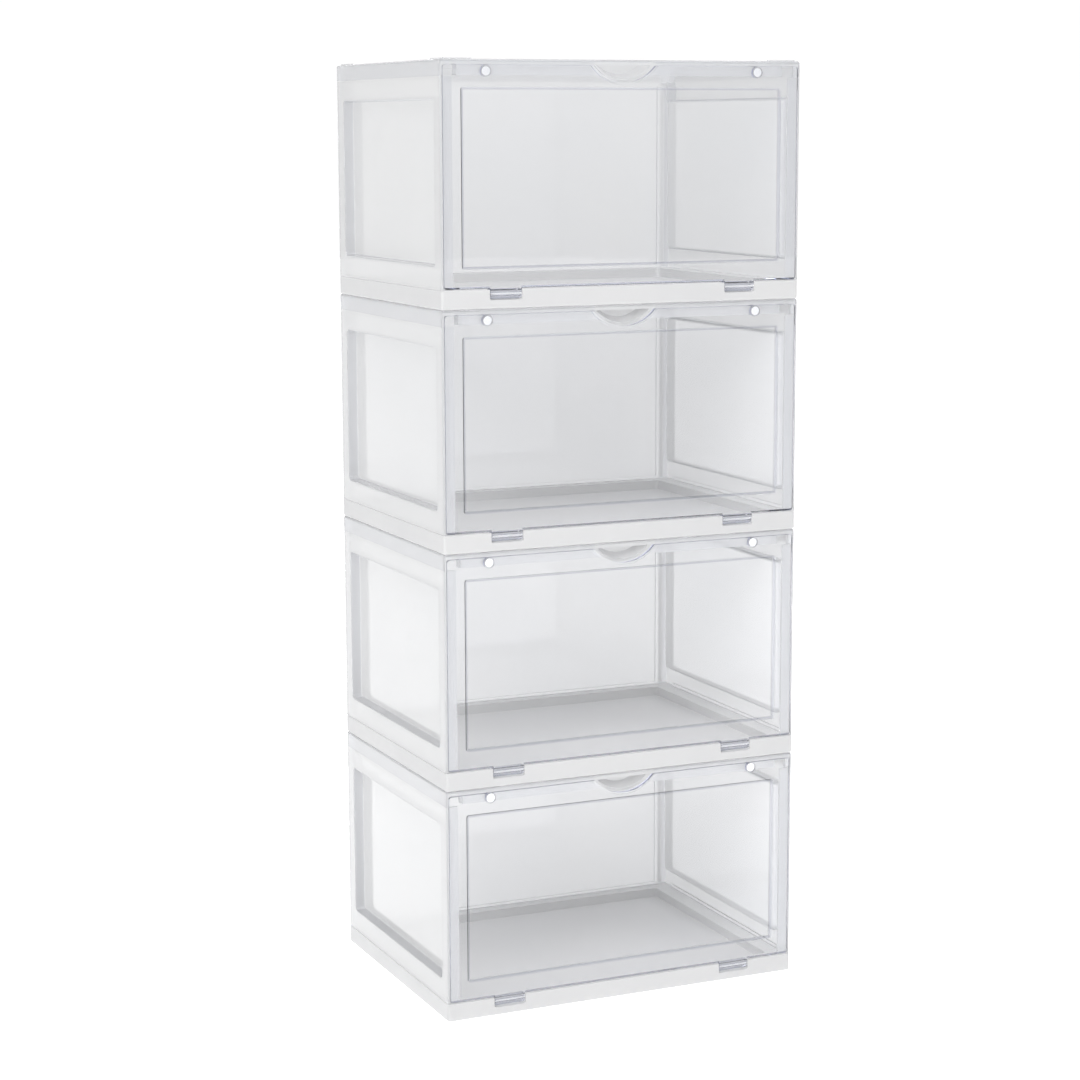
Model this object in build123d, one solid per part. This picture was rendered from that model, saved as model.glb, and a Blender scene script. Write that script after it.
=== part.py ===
from build123d import *
import os

# A stack of four clear drop-front shoe boxes.
#
# Millimetres. +Z is up, the doors face -Y, and the origin is the middle of the bottom box's foot.
# Every box is a white base tray, two side panels and a back panel that stand on it, a lid that
# caps them, and a clear door that hangs on two plastic pins in the tray's front rail and closes
# against a pair of magnets in the lid.

# ---- driving dimensions -------------------------------------------------------------------------
BOX_COUNT = 4
WIDTH = 362.0            # outside, left to right
DEPTH = 268.0            # outside, front to back
PITCH = 220.0            # height of one box, from the foot of one to the foot of the next
WALL = 2.2               # moulded wall of the tray, lid flange and recesses
SKIN = 2.0               # flat skin of the side and back panels, and the lid's skirt
CORNER_RADIUS = 2.5      # upright outside corners of the tray and the lid

# base tray
RAIL_HEIGHT = 17.0       # top of the rail all round the tray
RAIL_ROUND = 0.8
FOOT_RIM = 3.0           # width of the rim that the tray stands on
FOOT_ROUND = 1.5
FLOOR_TOP = 8.0          # the floor that the shoes stand on
FRONT_RAIL = 12.0        # width of the rail along each side of the tray
SIDE_RAIL = 20.5
BACK_RAIL = 16.0
RIB = 1.6                # stiffening ribs inside the hollow rails
RIB_PITCH = 58.0
RIB_FOOT = 3.0           # the ribs stop short of the foot, clear of the lid below

# panels
PANEL_GAP = 0.3          # the panels stand this far inside the tray's and the lid's faces
PANEL_BOTTOM = RAIL_HEIGHT + 0.2
SKIRT_BOTTOM = 205.0
PANEL_TOP = SKIRT_BOTTOM - 0.2
FRAME_DEPTH = 12.2       # from the box's side to the inner face of the recessed sheet
RECESS_BOTTOM = 38.0
RECESS_TOP = 185.5
SIDE_RECESS_FRONT = 16.0     # from the front of the box to the recess in its side
SIDE_RECESS_BACK = 18.0      # from the back of the box to the recess in its side
RECESS_CORNER = 4.0
RECESS_DRAFT = 4.0           # degrees of slope on the recess's walls
RECESS_MOUTH_ROUND = 0.8
RECESS_FLOOR_ROUND = 1.2
PANEL_CORNER = 1.5
POST_FRONT = 3.0             # front flange of the side panel, behind the door
TONGUE_FRONT = 10.0          # from the front of the box to the side panels' tongues
TONGUE_BACK = 20.0           # from the back of the box to them
TONGUE_TOP = 217.3           # the upper tongue goes up inside the lid's skirt
TONGUE_FOOT = 11.0           # the lower one stands in a groove in the tray's rail
TONGUE_ROOT = 3.0            # how far a tongue laps over the inside of its panel
GROOVE_SLACK = 0.2

# lid
LID_PLATE = 2.4
LID_ROUND = 2.4
LID_EDGE_BOTTOM = 215.3      # lower edge of the lid's front lip, just above the door
FLANGE_FRONT = 5.2           # the flange behind the door that carries the lid's magnets
FLANGE_BOTTOM = 206.0
FLANGE_END = 17.2            # from the side of the box to the end of the flange
FLANGE_RETURN = 9.0
SCOOP_DEPTH = 12.8           # finger bowl behind the door's notch
SCOOP_TAPER = 25.0           # degrees
SCOOP_MARGIN = 0.8           # the bowl stays this far inside the notch's outline
LOCATOR_HEIGHT = 1.0         # the ribs on the lid that keep the next box in place
LOCATOR_LEG = 28.0
LOCATOR_INSET = 4.0

# door
DOOR_THICK = 2.4
DOOR_SIDE_GAP = 2.6
DOOR_BOTTOM = 18.0
DOOR_TOP = 214.9
DOOR_CORNER = 3.0
DOOR_ROUND = 0.7
DOOR_HEEL = 1.6              # bevel inside the lower edge, so that it turns clear of the rail
EMBOSS_INSET = 20.3          # from the side of the box to the door's embossed rectangle
EMBOSS_BOTTOM = 35.5
EMBOSS_TOP = 195.5
EMBOSS_DEPTH = 1.3
EMBOSS_CORNER = 2.5
EMBOSS_TAPER = 60.0          # degrees
NOTCH_RADIUS = 39.5
NOTCH_BOTTOM = 200.1
NOTCH_LIP = 2.2              # thickened edge round the notch
NOTCH_LIP_DEPTH = 1.8

# hinges
HINGE_X = 118.5              # each side of the middle
AXIS_BACK = 4.8              # from the front of the box to the hinge axis
AXIS_HEIGHT = 13.2
LUG_WIDTH = 30.6
LUG_RADIUS = 4.6
LUG_CHAMFER = 1.6
POCKET_WIDTH = 31.6
POCKET_DEPTH = 9.8
POCKET_FLOOR = 7.6
POCKET_CHAMFER = 1.0
HINGE_BLOCK_WALL = 6.0
PIN_RADIUS = 1.5
PIN_LENGTH = 38.0
PIN_CLEARANCE = 0.05

# magnets
MAGNET_X = 136.3
MAGNET_HEIGHT = 209.5
MAGNET_RADIUS = 4.0
MAGNET_THICK = 2.2
MAGNET_SLACK = 0.1
BOSS_RADIUS = 5.2

# ---- places worked out from them ----------------------------------------------------------------
LEFT = -WIDTH / 2
RIGHT = WIDTH / 2
FRONT = -DEPTH / 2
BACK = DEPTH / 2
NOTCH_CENTRE = NOTCH_BOTTOM + NOTCH_RADIUS
PLATE_BOTTOM = PITCH - LID_PLATE
TONGUE_INNER = PANEL_GAP + 2 * SKIN      # from the box's side to a tongue's inner face
OVER = 1.0               # cuts, and blocks that join another, run this far past its face


def block(x_range, y_range, z_range):
    """A rectangular solid between the given limits, whichever way round each pair is."""
    low = [min(pair) for pair in (x_range, y_range, z_range)]
    size = [abs(pair[1] - pair[0]) for pair in (x_range, y_range, z_range)]
    return Pos(*low) * Box(*size, align=(Align.MIN, Align.MIN, Align.MIN))


def outer_block(z_range, top_round):
    """The box's outline between two heights, with round upright corners and a round top edge."""
    body = block((LEFT, RIGHT), (FRONT, BACK), z_range)
    body = fillet(body.edges().filter_by(Axis.Z), CORNER_RADIUS)
    return fillet(body.faces().sort_by(Axis.Z)[-1].edges(), top_round)


def cylinder_along_x(radius, length, x_middle, y, z):
    return Pos(x_middle, y, z) * Rot(0, 90, 0) * Cylinder(radius, length)


def disc_along_y(radius, y_range, x, z):
    """A round solid on an axis that runs front to back."""
    return Pos(x, sum(y_range) / 2, z) * Rot(90, 0, 0) * Cylinder(radius, abs(y_range[1] - y_range[0]))


# ---- base tray ----------------------------------------------------------------------------------
def tray_hollows():
    """The floor's pocket above, and the space under the floor and inside the rails."""
    pocket_x = (LEFT + SIDE_RAIL, RIGHT - SIDE_RAIL)
    pocket_y = (FRONT + FRONT_RAIL, BACK - BACK_RAIL)
    pocket = block(pocket_x, pocket_y, (FLOOR_TOP, RAIL_HEIGHT + OVER))
    pocket = fillet(pocket.edges().filter_by(Axis.Z), RECESS_CORNER)
    inside_x = (LEFT + FOOT_RIM, RIGHT - FOOT_RIM)
    inside_y = (FRONT + FOOT_RIM, BACK - FOOT_RIM)
    under_floor = block(inside_x, inside_y, (-OVER, FLOOR_TOP - WALL))
    in_rails = block(inside_x, inside_y, (0, RAIL_HEIGHT - WALL))
    in_rails -= block(
        (pocket_x[0] - WALL, pocket_x[1] + WALL),
        (pocket_y[0] - WALL, pocket_y[1] + WALL),
        (0, RAIL_HEIGHT),
    )
    return pocket, under_floor + in_rails


def rail_ribs():
    """Upright ribs across the hollow rails, evenly spaced."""
    ribs = []
    heights = (RIB_FOOT, RAIL_HEIGHT - WALL / 2)
    reach = int(WIDTH / 2 // RIB_PITCH)
    for step in range(-reach, reach + 1):
        x = step * RIB_PITCH
        across = (x - RIB / 2, x + RIB / 2)
        if abs(abs(x) - HINGE_X) > POCKET_WIDTH / 2 + HINGE_BLOCK_WALL:
            ribs.append(block(across, (FRONT + OVER, FRONT + FRONT_RAIL - OVER), heights))
        ribs.append(block(across, (BACK - BACK_RAIL + OVER, BACK - OVER), heights))
    reach = int(DEPTH / 2 // RIB_PITCH)
    for step in range(-reach, reach + 1):
        y = step * RIB_PITCH + RIB_PITCH / 4
        along = (y - RIB / 2, y + RIB / 2)
        for side in (-1, 1):
            edge = side * WIDTH / 2
            ribs.append(block((edge - side * OVER, edge - side * (SIDE_RAIL - OVER)), along, heights))
    return ribs


def groove_runs():
    """(x range, y range) of each panel's tongue in the rail: the two sides, then the back."""
    runs = []
    for side in (-1, 1):
        edge = side * WIDTH / 2
        run_x = (edge - side * (PANEL_GAP + SKIN), edge - side * TONGUE_INNER)
        runs.append((run_x, (FRONT + TONGUE_FRONT, BACK - TONGUE_BACK)))
    half_width = WIDTH / 2 - FRAME_DEPTH - PANEL_GAP
    runs.append(((-half_width, half_width), (BACK - TONGUE_INNER, BACK - PANEL_GAP - SKIN)))
    return runs


def grown(limits, by):
    return (min(limits) - by, max(limits) + by)


def hinge_pocket(x):
    """The notch in the front rail that takes one lug, with its lower corners cut off."""
    outline = Pos(x, 0) * Rectangle(POCKET_WIDTH, 2 * (RAIL_HEIGHT - POCKET_FLOOR))
    outline = chamfer(outline.vertices().group_by(Axis.Y)[0], POCKET_CHAMFER)
    face = Pos(0, FRONT + POCKET_DEPTH, RAIL_HEIGHT) * Rot(90, 0, 0) * outline
    return extrude(face, POCKET_DEPTH + OVER)


def base_tray():
    tray = outer_block((0, RAIL_HEIGHT), RAIL_ROUND)
    tray = fillet(tray.faces().sort_by(Axis.Z)[0].edges(), FOOT_ROUND)
    pocket, hollow = tray_hollows()
    tray = tray - pocket - hollow
    tray += rail_ribs()
    groove_floor = TONGUE_FOOT - GROOVE_SLACK
    for run_x, run_y in groove_runs():
        sill_heights = (groove_floor - WALL, RAIL_HEIGHT - OVER)
        tray += block(grown(run_x, WALL), grown(run_y, WALL), sill_heights)
    for run_x, run_y in groove_runs():
        heights = (groove_floor, RAIL_HEIGHT + OVER)
        tray -= block(grown(run_x, GROOVE_SLACK), grown(run_y, GROOVE_SLACK), heights)
    for x in (-HINGE_X, HINGE_X):
        half = POCKET_WIDTH / 2 + HINGE_BLOCK_WALL
        heights = (RIB_FOOT, RAIL_HEIGHT - OVER)
        tray += block((x - half, x + half), (FRONT + OVER, FRONT + FRONT_RAIL), heights)
        tray -= hinge_pocket(x)
        tray -= cylinder_along_x(PIN_RADIUS, PIN_LENGTH, x, FRONT + AXIS_BACK, AXIS_HEIGHT)
    return tray


# ---- panels -------------------------------------------------------------------------------------
def recess(plane, width, height, depth):
    """A drafted pocket: the solid round it, and the hollow to cut from that solid."""
    inwards = Axis(plane.origin, plane.z_dir)
    mouth = plane * RectangleRounded(width, height, RECESS_CORNER)
    rim = plane * RectangleRounded(width + 2 * WALL, height + 2 * WALL, RECESS_CORNER + WALL)
    hollow = extrude(mouth, depth - WALL, taper=RECESS_DRAFT)
    hollow = fillet(hollow.faces().sort_by(inwards)[-1].edges(), RECESS_FLOOR_ROUND)
    solid = extrude(rim, depth, taper=RECESS_DRAFT)
    solid = fillet(solid.faces().sort_by(inwards)[-1].edges(), RECESS_FLOOR_ROUND + WALL)
    return solid, hollow


def tongue_spans():
    """Height ranges of a panel's lower and upper tongue."""
    return (TONGUE_FOOT, PANEL_BOTTOM + TONGUE_ROOT), (PANEL_TOP - TONGUE_ROOT, TONGUE_TOP)


def side_panel():
    """The left side panel. The right one is its mirror image."""
    outer = LEFT + PANEL_GAP
    inner = LEFT + FRAME_DEPTH
    skin_inner = outer + SKIN
    heights = (PANEL_BOTTOM, PANEL_TOP)
    front = FRONT + PANEL_GAP
    back = BACK - PANEL_GAP
    recess_y = (FRONT + SIDE_RECESS_FRONT, BACK - SIDE_RECESS_BACK)
    middle = Plane(
        origin=(outer, sum(recess_y) / 2, (RECESS_BOTTOM + RECESS_TOP) / 2), x_dir=(0, 1, 0), z_dir=(1, 0, 0)
    )
    solid, hollow = recess(
        middle, recess_y[1] - recess_y[0], RECESS_TOP - RECESS_BOTTOM, FRAME_DEPTH - PANEL_GAP
    )
    panel = block((outer, skin_inner), (front, back), heights)
    panel += block((outer, inner), (back - SKIN, back), heights)
    panel = fillet(panel.edges().filter_by(Axis.Z).group_by(Axis.X)[0], PANEL_CORNER)
    panel = panel + solid - hollow
    mouth = panel.faces().sort_by(Axis.X)[0].inner_wires()[0]
    panel = fillet(mouth.edges(), RECESS_MOUTH_ROUND)
    panel += block((skin_inner, inner), (FRONT + POST_FRONT, FRONT + POST_FRONT + WALL), heights)
    # a rib that carries the recess's back wall up to the panel's top
    panel += block((outer, inner), (recess_y[1], recess_y[1] + WALL), (RECESS_TOP - OVER, PANEL_TOP))
    tongue_x, tongue_y = groove_runs()[0]
    for tongue_heights in tongue_spans():
        panel += block(tongue_x, tongue_y, tongue_heights)
    return panel


def back_panel():
    """A flat sheet between the back flanges of the side panels, with strips that tuck in behind them."""
    outer = BACK - PANEL_GAP
    skin_inner = outer - SKIN
    half_width = WIDTH / 2 - FRAME_DEPTH - PANEL_GAP
    panel = block((-half_width, half_width), (skin_inner, outer), (PANEL_BOTTOM, PANEL_TOP))
    tongue_x, tongue_y = groove_runs()[2]
    lower, upper = tongue_spans()
    for tongue_heights in (lower, upper):
        panel += block(tongue_x, tongue_y, tongue_heights)
    strip_heights = (lower[1] - OVER, upper[0] + OVER)
    for side in (-1, 1):
        root_x = (side * (half_width - 2 * SKIN), side * half_width)
        lap_x = (root_x[0], side * (half_width + 2 * SKIN))
        panel += block(root_x, tongue_y, strip_heights)
        panel += block(lap_x, (tongue_y[0], skin_inner - GROOVE_SLACK / 2), strip_heights)
    return panel


# ---- lid ----------------------------------------------------------------------------------------
def scoop():
    """A finger bowl behind the door's notch: the shell round it, and the hollow."""
    mouth = Plane(origin=(0, FRONT + FLANGE_FRONT, NOTCH_CENTRE), x_dir=(1, 0, 0), z_dir=(0, 1, 0))
    radius = NOTCH_RADIUS - SCOOP_MARGIN
    shell = extrude(mouth * Circle(radius), SCOOP_DEPTH, taper=SCOOP_TAPER)
    hollow = extrude(mouth * Circle(radius - WALL), SCOOP_DEPTH - WALL, taper=SCOOP_TAPER)
    hollow += extrude(mouth * Circle(radius - WALL), -OVER)
    shell &= block((LEFT, RIGHT), (FRONT, BACK), (0, PLATE_BOTTOM + LID_PLATE / 2))
    hollow &= block((LEFT, RIGHT), (FRONT, BACK), (0, PLATE_BOTTOM))
    return shell, hollow


def locators():
    """Four L-shaped ribs, one in each corner of the lid, that fit inside the next box's foot."""
    ribs = []
    heights = (PITCH - OVER, PITCH + LOCATOR_HEIGHT)
    for side in (-1, 1):
        for end in (-1, 1):
            x = side * (WIDTH / 2 - LOCATOR_INSET)
            y = end * (DEPTH / 2 - LOCATOR_INSET)
            ribs.append(block((x, x - side * LOCATOR_LEG), (y, y - end * SKIN), heights))
            ribs.append(block((x, x - side * SKIN), (y, y - end * LOCATOR_LEG), heights))
    return ribs


def lid():
    cap = outer_block((SKIRT_BOTTOM, PITCH), LID_ROUND)
    inside_z = (SKIRT_BOTTOM - OVER, PLATE_BOTTOM)
    cap -= block((LEFT + SKIN, RIGHT - SKIN), (FRONT + WALL, BACK - SKIN), inside_z)
    doorway = (LEFT + DOOR_SIDE_GAP - PANEL_GAP, RIGHT - DOOR_SIDE_GAP + PANEL_GAP)
    doorway_z = (SKIRT_BOTTOM - OVER, LID_EDGE_BOTTOM)
    cap -= block(doorway, (FRONT - OVER, FRONT + WALL + OVER), doorway_z)
    flange_y = (FRONT + FLANGE_FRONT, FRONT + FLANGE_FRONT + WALL)
    flange_z = (FLANGE_BOTTOM, PITCH - OVER)
    cap += block((LEFT + FLANGE_END, RIGHT - FLANGE_END), flange_y, flange_z)
    for side in (-1, 1):
        end = side * (WIDTH / 2 - FLANGE_END)
        cap += block((end, end - side * WALL), (flange_y[0], flange_y[0] + FLANGE_RETURN), flange_z)
    shell, hollow = scoop()
    cap += shell
    cap -= hollow
    boss_y = (flange_y[0] + WALL / 2, flange_y[1] + MAGNET_THICK)
    for x in (-MAGNET_X, MAGNET_X):
        cap += disc_along_y(BOSS_RADIUS, boss_y, x, MAGNET_HEIGHT)
        socket_y = (flange_y[1], boss_y[1] + OVER)
        cap -= disc_along_y(MAGNET_RADIUS + MAGNET_SLACK, socket_y, x, MAGNET_HEIGHT)
    cap += locators()
    return cap


# ---- door ---------------------------------------------------------------------------------------
def door_plate():
    """A flat plate with an embossed rectangle that steps back into the box."""
    height = DOOR_TOP - DOOR_BOTTOM
    middle = Plane(
        origin=(0, FRONT, (DOOR_TOP + DOOR_BOTTOM) / 2), x_dir=(1, 0, 0), z_dir=(0, -1, 0)
    )
    outline = middle * RectangleRounded(WIDTH - 2 * DOOR_SIDE_GAP, height, DOOR_CORNER)
    plate = extrude(outline, -DOOR_THICK)
    plate = fillet(plate.faces().sort_by(Axis.Y)[0].edges(), DOOR_ROUND)
    plate = fillet(plate.faces().sort_by(Axis.Y)[-1].edges(), DOOR_ROUND)
    emboss = Plane(
        origin=(0, FRONT, (EMBOSS_TOP + EMBOSS_BOTTOM) / 2), x_dir=(1, 0, 0), z_dir=(0, 1, 0)
    )
    sunk_width = WIDTH - 2 * EMBOSS_INSET
    sunk_height = EMBOSS_TOP - EMBOSS_BOTTOM
    sunk = emboss * RectangleRounded(sunk_width, sunk_height, EMBOSS_CORNER)
    step = emboss.offset(DOOR_THICK) * RectangleRounded(sunk_width, sunk_height, EMBOSS_CORNER)
    plate += extrude(step, EMBOSS_DEPTH, taper=EMBOSS_TAPER)
    plate -= extrude(sunk, EMBOSS_DEPTH, taper=EMBOSS_TAPER)
    return plate


def door_heel():
    """The wedge cut off the inside of the door's lower edge."""
    corner_y = FRONT + DOOR_THICK
    wedge = Polyline(
        (LEFT, corner_y - DOOR_HEEL, DOOR_BOTTOM),
        (LEFT, corner_y + OVER, DOOR_BOTTOM - OVER),
        (LEFT, corner_y + OVER, DOOR_BOTTOM + DOOR_HEEL + OVER),
        (LEFT, corner_y, DOOR_BOTTOM + DOOR_HEEL),
        close=True,
    )
    return extrude(make_face(wedge), WIDTH, dir=(1, 0, 0))


def lug(x):
    """One hinge lug: a barrel round the pin, with a web up to the door's plate."""
    axis_y = FRONT + AXIS_BACK
    front = axis_y - LUG_RADIUS
    barrel = cylinder_along_x(LUG_RADIUS, LUG_WIDTH, x, axis_y, AXIS_HEIGHT)
    span = (x - LUG_WIDTH / 2, x + LUG_WIDTH / 2)
    web = block(span, (front, FRONT + DOOR_THICK), (AXIS_HEIGHT, DOOR_BOTTOM + DOOR_HEEL))
    outline = Pos(x, AXIS_HEIGHT) * Rectangle(LUG_WIDTH, 2 * LUG_RADIUS)
    outline = chamfer(outline.vertices().group_by(Axis.Y)[0], LUG_CHAMFER)
    envelope = extrude(Pos(0, axis_y + LUG_RADIUS, 0) * Rot(90, 0, 0) * outline, 2 * LUG_RADIUS)
    above = block(span, (front, axis_y + LUG_RADIUS), (AXIS_HEIGHT, DOOR_TOP))
    return (barrel + web) & (envelope + above)


def door():
    plate = door_plate() - door_heel()
    plate += [lug(-HINGE_X), lug(HINGE_X)]
    for x in (-HINGE_X, HINGE_X):
        bore = PIN_RADIUS + PIN_CLEARANCE
        plate -= cylinder_along_x(bore, PIN_LENGTH, x, FRONT + AXIS_BACK, AXIS_HEIGHT)
    back_face = FRONT + DOOR_THICK
    lip_y = (back_face - OVER, back_face + NOTCH_LIP_DEPTH)
    lip = disc_along_y(NOTCH_RADIUS + NOTCH_LIP, lip_y, 0, NOTCH_CENTRE)
    plate += lip & block((LEFT, RIGHT), (FRONT, 0), (DOOR_BOTTOM, DOOR_TOP))
    plate -= disc_along_y(NOTCH_RADIUS, (FRONT - OVER, lip_y[1] + OVER), 0, NOTCH_CENTRE)
    boss_y = (back_face - OVER, back_face + MAGNET_THICK)
    for x in (-MAGNET_X, MAGNET_X):
        plate += disc_along_y(BOSS_RADIUS, boss_y, x, MAGNET_HEIGHT)
        socket_y = (back_face, boss_y[1] + OVER)
        plate -= disc_along_y(MAGNET_RADIUS + MAGNET_SLACK, socket_y, x, MAGNET_HEIGHT)
    return plate


# ---- pins and magnets ---------------------------------------------------------------------------
def hinge_pins():
    end_gap = 0.2
    pins = []
    for x in (-HINGE_X, HINGE_X):
        pins.append(cylinder_along_x(PIN_RADIUS, PIN_LENGTH - end_gap, x, FRONT + AXIS_BACK, AXIS_HEIGHT))
    return pins


def magnets(front_face):
    """The two magnets that sit in bosses behind the given face, a film of glue away from it."""
    span = (front_face + MAGNET_SLACK, front_face + MAGNET_THICK)
    return [disc_along_y(MAGNET_RADIUS, span, x, MAGNET_HEIGHT) for x in (-MAGNET_X, MAGNET_X)]


# ---- the stack ----------------------------------------------------------------------------------
left_panel = side_panel()
PIECES = {
    "base_tray": [base_tray()],
    "side_panel_left": [left_panel],
    "side_panel_right": [mirror(left_panel, about=Plane.YZ)],
    "back_panel": [back_panel()],
    "lid": [lid()],
    "lid_magnets": magnets(FRONT + FLANGE_FRONT + WALL),
    "door": [door()],
    "door_magnets": magnets(FRONT + DOOR_THICK),
    "hinge_pins": hinge_pins(),
}

os.makedirs("parts", exist_ok=True)
for number in range(1, BOX_COUNT + 1):
    lift = Pos(0, 0, (number - 1) * PITCH)
    for name, shapes in PIECES.items():
        node = Compound([solid for shape in shapes for solid in (lift * shape).solids()])
        export_step(node, f"parts/box_{number}_{name}.step")
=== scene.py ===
import math

import bpy
from mathutils import Matrix, Vector

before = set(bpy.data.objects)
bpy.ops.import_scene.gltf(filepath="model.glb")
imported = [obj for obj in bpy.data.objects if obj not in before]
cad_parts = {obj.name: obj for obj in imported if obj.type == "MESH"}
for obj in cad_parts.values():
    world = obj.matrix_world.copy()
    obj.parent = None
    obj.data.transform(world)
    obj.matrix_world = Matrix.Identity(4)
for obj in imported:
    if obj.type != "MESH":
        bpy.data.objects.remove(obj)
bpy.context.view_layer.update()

# The stack of clear shoe boxes keeps every CAD node. This script gives the nodes their materials
# and stands them on a white floor in a soft white studio. Metres; +Z is up; the doors face -Y.

# ---- camera and studio --------------------------------------------------------------------------
LENS = 85.2                              # millimetres, on a 36 mm sensor
CAMERA_PLACE = (-1.0286, -2.2425, 0.8193)
CAMERA_YAW = math.radians(24.08)         # towards +X
CAMERA_PITCH = math.radians(9.15)        # downwards
CAMERA_ROLL = math.radians(-0.2)
CAMERA_REACH = 60.0                      # metres; past the far edge of the floor

FLOOR_RADIUS = 14.0
FLOOR_SEGMENTS = 96
FLOOR_WHITE = (1.0, 1.0, 1.0, 1.0)
FLOOR_GLOW = 0.90                        # keeps the floor as white as the studio behind it
SOFT_SHARE = 0.44                        # the part of the world's and floor's white that dull surfaces get

WORLD_HORIZON = (1.0, 1.0, 1.0)
WORLD_ZENITH = (0.66, 0.67, 0.70)
WORLD_STRENGTH = 1.02
HORIZON_TOP = 0.25                       # heights of the sky, as sines, between which it darkens
ZENITH_BOTTOM = 0.8

LAMP_AIM = (0.0, 0.0, 0.45)              # the middle of the stack
LAMPS = {                                # place and side in metres, power in watts
    "key_light": ((-1.6, -2.15, 2.85), 2.2, 74.0),
    "fill_light": ((2.7, 0.9, 2.2), 2.0, 16.0),
    "top_light": ((0.1, 0.1, 2.7), 1.6, 6.0),
}

CYCLES_SETTINGS = {                      # bounces enough to see through every wall of the stack
    "max_bounces": 24,
    "transmission_bounces": 24,
    "transparent_max_bounces": 64,
    "glossy_bounces": 6,
    "diffuse_bounces": 4,
    "caustics_reflective": False,
    "caustics_refractive": False,
}

# ---- materials ----------------------------------------------------------------------------------
# Scales are those of noise over metres. Wave, grain and mark heights are in metres.
NOISE_MIDDLE = (0.3, 0.7)                # the range that most of a noise's values lie in

CLEAR_IOR = 1.49
CLEAR_ROUGHNESS = (0.01, 0.03)
CLEAR_TINT_SCALE = 7.0
CLEAR_HAZE_SCALE = 140.0
CLEAR_WAVE_SCALE = 12.0
CLEAR_WAVE_HEIGHT = 0.0001
CLEAR_LAMP_TINT = (0.99, 0.99, 0.99)     # what one face of a clear wall lets through from the lamps
MILKY_LAMP_TINT = (0.93, 0.93, 0.93)     # and one face of a milky one
# Faces that count as edges get a painted shade, darker and bluer than the flats.
EDGE_BELOW = 0.70                        # a face is an edge where its normal reaches less than this along
FLAT_ABOVE = 0.97                        # the sheet's own, and a flat where it reaches more than this
FRAME_FROM = 0.176                       # metres from the middle; a side panel's frame lies beyond this
BOWL_WITHIN = 0.031                      # metres to each side; a lid's finger bowl lies within this

WHITE_IOR = 1.5
WHITE_TINT_SCALE = 11.0
WHITE_GLOSS_SCALE = 90.0
WHITE_GRAIN_SCALE = 1600.0
WHITE_GRAIN_HEIGHT = 0.00003
WHITE_WAVE_SCALE = 30.0
WHITE_WAVE_HEIGHT = 0.0002

NICKEL_LIGHT = (0.93, 0.93, 0.94)
NICKEL_DARK = (0.84, 0.85, 0.87)
NICKEL_ROUGHNESS = (0.25, 0.40)
NICKEL_MARK_SCALE = 2200.0
NICKEL_MARK_HEIGHT = 0.00001

# The edge colours below are painted shade on the edges and flanks of each clear part, partly the real tint
# of the longer way through the plastic.
PANEL = {
    "tints": ((0.88, 0.88, 0.88), (0.865, 0.867, 0.87)),
    "painted_edge_shade": (0.73, 0.735, 0.75),
    "clarity": 0.55,
    "lamp_tint": MILKY_LAMP_TINT,
    "absorb": (0.80, 0.84, 0.90),
    "density": 8.0,
}
SIDE_FRAME_TINT = (0.84, 0.84, 0.84)
LID = {
    "tints": ((0.86, 0.86, 0.865), (0.84, 0.843, 0.85)),
    "painted_edge_shade": (0.79, 0.795, 0.81),
    "clarity": 0.62,
    "lamp_tint": MILKY_LAMP_TINT,
    "absorb": (0.80, 0.83, 0.88),
    "density": 8.0,
}
DOOR = {
    "tints": ((0.99, 0.99, 0.995), (0.975, 0.98, 0.99)),
    "painted_edge_shade": (0.52, 0.54, 0.66),
    "clarity": 1.0,
    "lamp_tint": CLEAR_LAMP_TINT,
    "absorb": (0.60, 0.65, 0.85),
    "density": 8.0,
}
TRAY = {
    "light": (0.72, 0.72, 0.72),
    "dark": (0.69, 0.69, 0.695),
    "roughness_range": (0.30, 0.42),
    # Painted light: the tray's level faces, its floors most of all, are made lighter than its upright walls.
    "painted_flat_light": 1.18,
}
PIN = {
    "light": (0.80, 0.80, 0.81),
    "dark": (0.74, 0.75, 0.76),
    "roughness_range": (0.22, 0.35),
}


def build_mesh(name, points, faces):
    mesh = bpy.data.meshes.new(name)
    mesh.from_pydata(points, [], faces)
    piece = bpy.data.objects.new(name, mesh)
    bpy.context.scene.collection.objects.link(piece)
    return piece


# ---- node helpers -------------------------------------------------------------------------------
def rgba(colour):
    """Three numbers as an opaque colour. An output socket stays as it is."""
    if isinstance(colour, bpy.types.NodeSocket):
        return colour
    return (*colour, 1.0)


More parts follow.
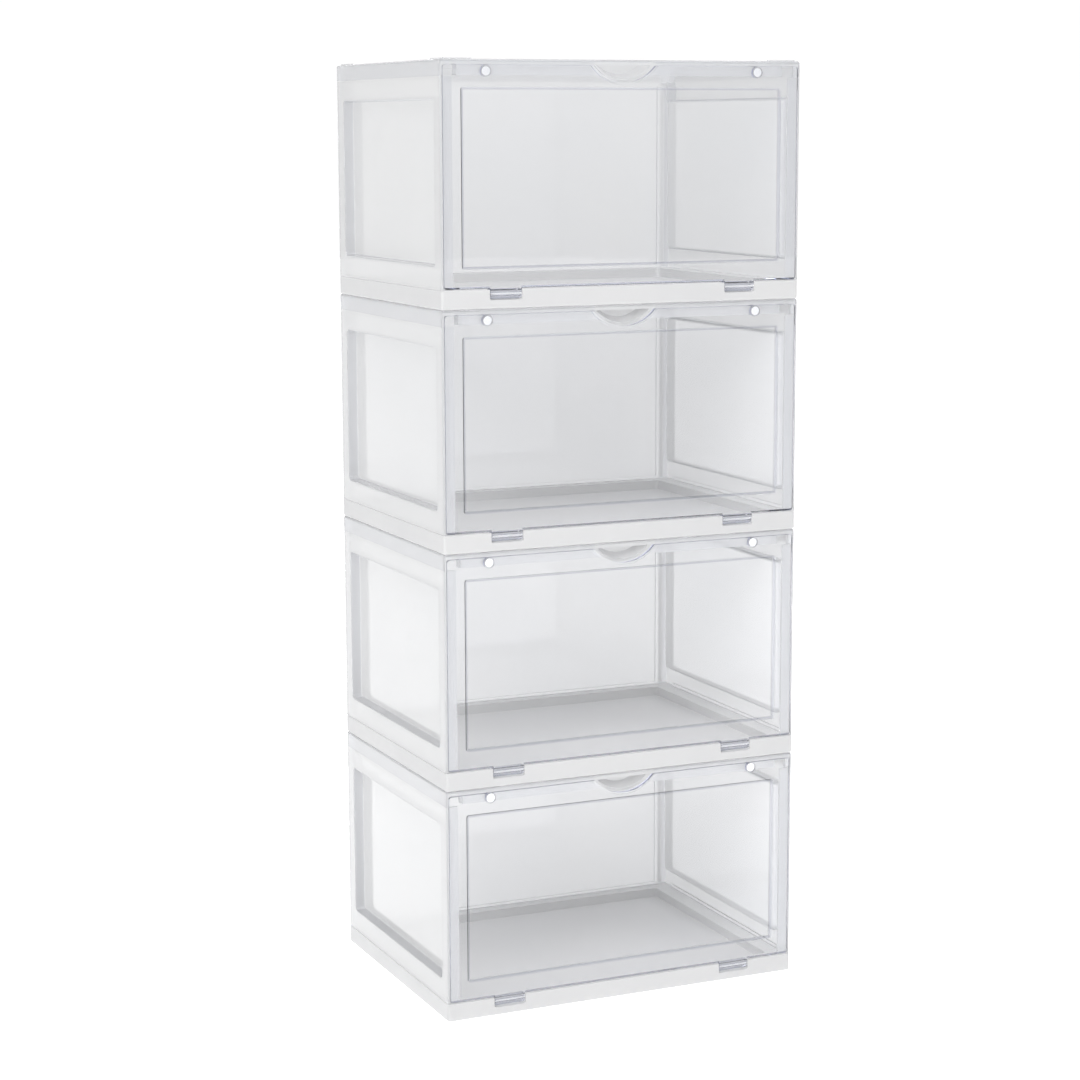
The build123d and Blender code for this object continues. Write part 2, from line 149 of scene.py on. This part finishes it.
class Tree:
    """The node tree of one material or world, with short calls to add nodes and links."""

    def __init__(self, owner):
        owner.use_nodes = True
        self.nodes = owner.node_tree.nodes
        self.links = owner.node_tree.links
        self.nodes.clear()

    def add(self, kind, settings=None, **inputs):
        """Adds a node. An input is named, or numbered as _0, _1 and so on, and is a value or an
        output socket to link from."""
        node = self.nodes.new(kind)
        for key, value in (settings or {}).items():
            setattr(node, key, value)
        for key, value in inputs.items():
            number = key[1:]
            socket = node.inputs[int(number) if number.isdigit() else key.replace("_", " ")]
            if isinstance(value, bpy.types.NodeSocket):
                self.links.new(value, socket)
            else:
                socket.default_value = value
        return node

    def calculate(self, operation, *values):
        inputs = {f"_{index}": value for index, value in enumerate(values)}
        return self.add("ShaderNodeMath", {"operation": operation}, **inputs).outputs[0]

    def remap(self, value, **limits):
        return self.add("ShaderNodeMapRange", Value=value, **limits).outputs["Result"]

    def place(self):
        """Where a point is on the object, in metres."""
        return self.add("ShaderNodeTexCoord").outputs["Object"]

    def facing(self, axis):
        """How nearly a face is square to an axis, from nought to one."""
        return self.along(self.add("ShaderNodeTexCoord").outputs["Normal"], axis)

    def noise(self, scale, detail=2.0, roughness=0.5):
        place = self.place()
        node = self.add("ShaderNodeTexNoise", Vector=place, Scale=scale, Detail=detail, Roughness=roughness)
        return node.outputs["Fac"]

    def along(self, vector, axis):
        """How far a vector reaches along one axis, either way."""
        return self.calculate("ABSOLUTE", self.add("ShaderNodeSeparateXYZ", Vector=vector).outputs[axis])

    def beyond(self, distance, axis):
        """One where a point is further than a distance from the middle, and nought elsewhere."""
        return self.calculate("GREATER_THAN", self.along(self.place(), axis), distance)

    def rear(self):
        """One on the back half of the stack, and nought on the front half."""
        depth = self.add("ShaderNodeSeparateXYZ", Vector=self.place()).outputs["Y"]
        return self.calculate("GREATER_THAN", depth, 0.0)

    def spread(self, value, low, high):
        """Maps the middle of a noise's range to low ... high."""
        bottom, top = NOISE_MIDDLE
        return self.remap(value, From_Min=bottom, From_Max=top, To_Min=low, To_Max=high)

    def blend_colours(self, factor, first, second):
        """Mixes two colours, each three numbers or an output socket."""
        node = self.add(
            "ShaderNodeMix", {"data_type": "RGBA"}, _0=factor, _6=rgba(first), _7=rgba(second)
        )
        return node.outputs[2]

    def bump(self, height, distance, **normal):
        """A bump of a height in metres, on top of another bump's Normal if one is given."""
        node = self.add("ShaderNodeBump", Height=height, Distance=distance, Strength=1.0, **normal)
        return node.outputs["Normal"]


def clear_plastic(
    name, flat_axis, tints, painted_edge_shade, clarity, lamp_tint, absorb, density, frame_tint=None, pale_within=None
):
    """Clear moulded plastic: a faint tint, a fine haze, and a painted shade on its edges and flanks,
    deeper and bluer than its flats: partly the real tint of the longer way through the plastic
    there, partly painted shade for the dark lines its edges show. Clarity below 1 makes it milky.
    A frame tint darkens the thick frame of a side panel; front edges pale_within a distance of
    the middle keep the tint of the flats and get no painted edge shade."""
    material = bpy.data.materials.new(name)
    tree = Tree(material)
    flats = tree.blend_colours(tree.spread(tree.noise(CLEAR_TINT_SCALE), 0.0, 1.0), *tints)
    if frame_tint is not None:
        flats = tree.blend_colours(tree.beyond(FRAME_FROM, flat_axis), flats, frame_tint)
    # Painted edge shade: faces that are not square to the sheet take the darker, bluer edge colour.
    square = tree.facing(flat_axis)
    edge = tree.remap(square, From_Min=EDGE_BELOW, From_Max=FLAT_ABOVE, To_Min=1.0, To_Max=0.0)
    # The finger bowl at the front of the lid is left without the painted edge shade.
    if pale_within is not None:
        painted_shade_kept = tree.calculate("MAXIMUM", tree.beyond(pale_within, "X"), tree.rear())
        edge = tree.calculate("MULTIPLY", edge, painted_shade_kept)
    haze = tree.noise(CLEAR_HAZE_SCALE, detail=5.0, roughness=0.65)
    shader = tree.add(
        "ShaderNodeBsdfPrincipled",
        Base_Color=tree.blend_colours(edge, flats, painted_edge_shade),
        Roughness=tree.spread(haze, *CLEAR_ROUGHNESS),
        IOR=CLEAR_IOR,
        Transmission_Weight=clarity,
        Normal=tree.bump(tree.noise(CLEAR_WAVE_SCALE, detail=0.0), CLEAR_WAVE_HEIGHT),
    ).outputs[0]
    through = tree.add("ShaderNodeBsdfTransparent", Color=rgba(lamp_tint)).outputs[0]
    path = tree.add("ShaderNodeLightPath").outputs
    surface = shader
    for ray in ("Is Diffuse Ray", "Is Shadow Ray"):
        surface = tree.add("ShaderNodeMixShader", _0=path[ray], _1=surface, _2=through).outputs[0]
    depth = tree.add("ShaderNodeVolumeAbsorption", Color=rgba(absorb), Density=density)
    tree.add("ShaderNodeOutputMaterial", Surface=surface, Volume=depth.outputs[0])
    return material


def white_plastic(name, light, dark, roughness_range, painted_flat_light=1.0):
    """White moulded plastic with a fine grain and a little unevenness in colour and gloss. A flat
    factor above 1 paints light onto its level faces, making them lighter than its upright ones."""
    material = bpy.data.materials.new(name)
    tree = Tree(material)
    unevenness = tree.spread(tree.noise(WHITE_TINT_SCALE, detail=3.0), 0.0, 1.0)
    colour = tree.blend_colours(unevenness, light, dark)
    # Painted light: level faces are made lighter than upright ones.
    lift = tree.remap(tree.facing("Z"), To_Min=1.0, To_Max=painted_flat_light)
    lifted = tree.add("ShaderNodeVectorMath", {"operation": "SCALE"}, _0=colour, Scale=lift)
    grain = tree.bump(tree.noise(WHITE_GRAIN_SCALE), WHITE_GRAIN_HEIGHT)
    shader = tree.add(
        "ShaderNodeBsdfPrincipled",
        Base_Color=lifted.outputs[0],
        Roughness=tree.spread(tree.noise(WHITE_GLOSS_SCALE, detail=4.0), *roughness_range),
        IOR=WHITE_IOR,
        Normal=tree.bump(tree.noise(WHITE_WAVE_SCALE, detail=1.0), WHITE_WAVE_HEIGHT, Normal=grain),
    )
    tree.add("ShaderNodeOutputMaterial", Surface=shader.outputs[0])
    return material


def nickel(name):
    """Nickel plating with fine marks."""
    material = bpy.data.materials.new(name)
    tree = Tree(material)
    marks = tree.noise(NICKEL_MARK_SCALE, detail=3.0)
    shader = tree.add(
        "ShaderNodeBsdfPrincipled",
        Base_Color=tree.blend_colours(marks, NICKEL_LIGHT, NICKEL_DARK),
        Metallic=1.0,
        Roughness=tree.spread(marks, *NICKEL_ROUGHNESS),
        Normal=tree.bump(marks, NICKEL_MARK_HEIGHT),
    )
    tree.add("ShaderNodeOutputMaterial", Surface=shader.outputs[0])
    return material


def dress_stack():
    """Gives each CAD node the material listed for its name, less the number of its box."""
    side_panel = clear_plastic("clear_side_panel", "X", frame_tint=SIDE_FRAME_TINT, **PANEL)
    magnet = nickel("magnet")
    materials = {
        "base_tray": white_plastic("white_tray", **TRAY),
        "side_panel_left": side_panel,
        "side_panel_right": side_panel,
        "back_panel": clear_plastic("clear_back_panel", "Y", **PANEL),
        "lid": clear_plastic("clear_lid", "Z", pale_within=BOWL_WITHIN, **LID),
        "lid_magnets": magnet,
        "door": clear_plastic("clear_door", "Y", **DOOR),
        "door_magnets": magnet,
        "hinge_pins": white_plastic("white_pin", **PIN),
    }
    for name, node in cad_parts.items():
        for slot in node.material_slots:
            slot.material = materials[name.split("_", 2)[2]]


# ---- studio -------------------------------------------------------------------------------------
def soft_share(tree, strength):
    """A strength that is whole where it is seen, straight or in gloss or glass, and falls to its
    soft share where it lights dull surfaces."""
    path = tree.add("ShaderNodeLightPath").outputs
    shine = tree.calculate("MAXIMUM", path["Is Glossy Ray"], path["Is Transmission Ray"])
    seen = tree.calculate("MAXIMUM", path["Is Camera Ray"], shine)
    return tree.remap(seen, To_Min=strength * SOFT_SHARE, To_Max=strength)


def studio_floor():
    """A white floor that shows no horizon. It glows a little, as paper lit from all round does."""
    points = [(0.0, 0.0, 0.0)]
    for index in range(FLOOR_SEGMENTS):
        turn = 2 * math.pi * index / FLOOR_SEGMENTS
        points.append((FLOOR_RADIUS * math.cos(turn), FLOOR_RADIUS * math.sin(turn), 0.0))
    faces = [(0, index + 1, (index + 1) % FLOOR_SEGMENTS + 1) for index in range(FLOOR_SEGMENTS)]
    floor = build_mesh("studio_floor", points, faces)
    material = bpy.data.materials.new("studio_floor")
    tree = Tree(material)
    paper = tree.add("ShaderNodeBsdfDiffuse", Color=FLOOR_WHITE)
    glow = tree.add("ShaderNodeEmission", Color=FLOOR_WHITE, Strength=soft_share(tree, FLOOR_GLOW))
    shader = tree.add("ShaderNodeAddShader", _0=paper.outputs[0], _1=glow.outputs[0])
    tree.add("ShaderNodeOutputMaterial", Surface=shader.outputs[0])
    floor.data.materials.append(material)


def studio_world():
    """White at the horizon and darker overhead, which draws the edges of the clear walls."""
    world = bpy.data.worlds.new("studio")
    bpy.context.scene.world = world
    tree = Tree(world)
    direction = tree.add("ShaderNodeTexCoord").outputs["Generated"]
    height = tree.add("ShaderNodeSeparateXYZ", Vector=direction).outputs["Z"]
    darkening = tree.remap(height, From_Min=HORIZON_TOP, From_Max=ZENITH_BOTTOM)
    colour = tree.blend_colours(darkening, WORLD_HORIZON, WORLD_ZENITH)
    background = tree.add("ShaderNodeBackground", Color=colour, Strength=soft_share(tree, WORLD_STRENGTH))
    tree.add("ShaderNodeOutputWorld", Surface=background.outputs[0])


def soft_light(name, place, side, power):
    """A large square lamp. It leaves no glare on the flat walls, which would hide them."""
    light = bpy.data.lights.new(name, "AREA")
    light.shape = "SQUARE"
    light.size = side
    light.energy = power
    lamp = bpy.data.objects.new(name, light)
    lamp.location = place
    lamp.rotation_euler = (Vector(LAMP_AIM) - Vector(place)).to_track_quat("-Z", "Y").to_euler()
    lamp.visible_glossy = False
    bpy.context.scene.collection.objects.link(lamp)


def studio_camera():
    data = bpy.data.cameras.new("camera")
    data.lens = LENS
    data.clip_end = CAMERA_REACH
    camera = bpy.data.objects.new("camera", data)
    turn = Matrix.Rotation(-CAMERA_YAW, 4, "Z") @ Matrix.Rotation(math.pi / 2 - CAMERA_PITCH, 4, "X")
    camera.matrix_world = Matrix.Translation(CAMERA_PLACE) @ turn @ Matrix.Rotation(CAMERA_ROLL, 4, "Z")
    bpy.context.scene.collection.objects.link(camera)
    bpy.context.scene.camera = camera


def render_settings():
    scene = bpy.context.scene
    for key, value in CYCLES_SETTINGS.items():
        setattr(scene.cycles, key, value)
    scene.view_settings.view_transform = "Standard"


dress_stack()
studio_floor()
studio_world()
for lamp_name, lamp_values in LAMPS.items():
    soft_light(lamp_name, *lamp_values)
studio_camera()
render_settings()
